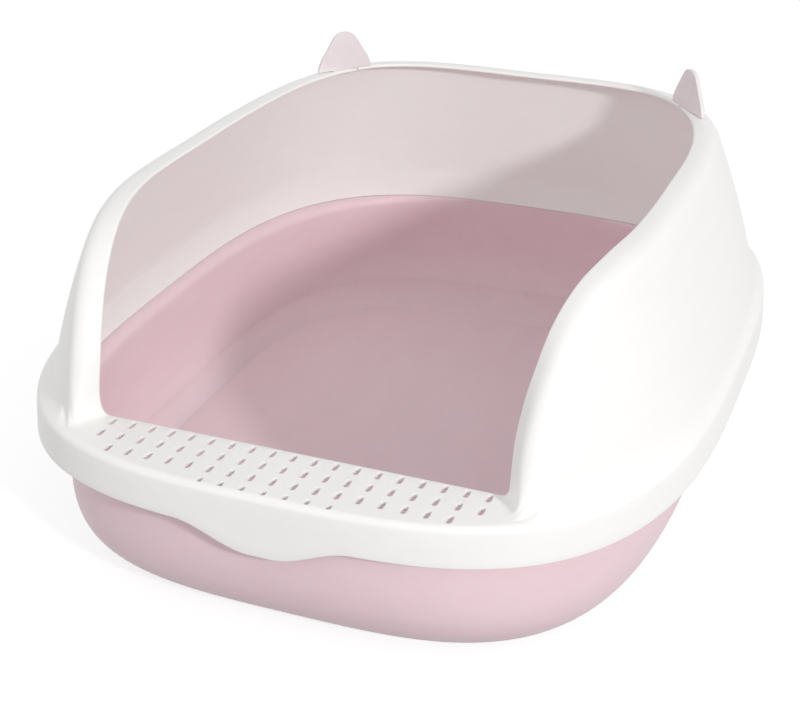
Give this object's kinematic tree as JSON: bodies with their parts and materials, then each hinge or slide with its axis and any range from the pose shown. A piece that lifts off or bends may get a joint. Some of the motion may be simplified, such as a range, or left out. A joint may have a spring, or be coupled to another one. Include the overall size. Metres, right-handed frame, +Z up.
{
  "type": "litter tray",
  "caption": "Cat litter tray with a deep plastic tub and a tall open-fronted hood that lifts off, with a slotted entry step and ears on its rim",
  "frame": {"origin": "on the floor under the middle of the tray", "axes": "+Z up, +Y towards the closed back, the entry step at -Y, +X to the right seen from the entry"},
  "size_m": [0.4, 0.4986, 0.2181],
  "materials": {
    "tub_plastic": "pastel pink moulded polypropylene, satin",
    "hood_plastic": "white moulded polypropylene, soft gloss",
    "ear_plastic": "off-white moulded plastic, satin"
  },
  "bodies": {
    "tub": {"base_tub": "tub_plastic"},
    "hood": {"hood": "hood_plastic", "ear_left": "ear_plastic", "ear_right": "ear_plastic"}
  },
  "joints": [
    {"name": "hood_lift", "type": "slide", "parent": "tub", "child": "hood", "axis": [0, 0, 1], "range_m": [0, 0.15]}
  ]
}
